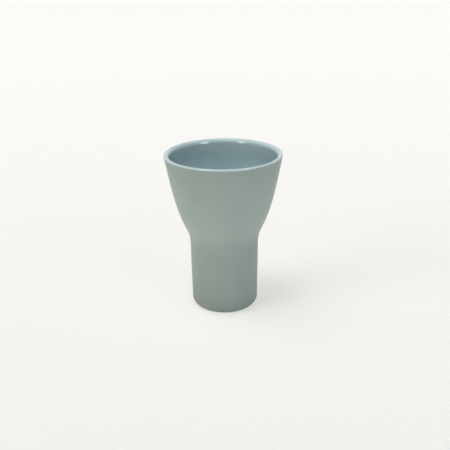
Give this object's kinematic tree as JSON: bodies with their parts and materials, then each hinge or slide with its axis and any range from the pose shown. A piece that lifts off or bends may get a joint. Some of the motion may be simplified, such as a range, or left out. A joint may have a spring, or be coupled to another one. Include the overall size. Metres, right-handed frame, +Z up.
{
  "type": "handleless espresso cup",
  "caption": "Tall handleless espresso cup: a flared bowl on a straight drum foot, gloss glaze inside and over the lip, matt grey-green glaze outside, bare foot ring.",
  "frame": {"origin": "on the table, at the middle of the foot's underside", "axes": "+Z up along the cup's axis of revolution; +X and +Y are any two square directions on the table"},
  "size_m": [0.0582, 0.0582, 0.08],
  "materials": {
    "bare_clay": "unglazed fired stoneware, ground flat on the foot ring",
    "gloss_glaze": "gloss, blue-grey",
    "matt_glaze": "matt, grey-green"
  },
  "bodies": {
    "root": {"cup_body": "bare_clay", "inner_glaze": "gloss_glaze", "outer_glaze": "matt_glaze"}
  },
  "joints": []
}
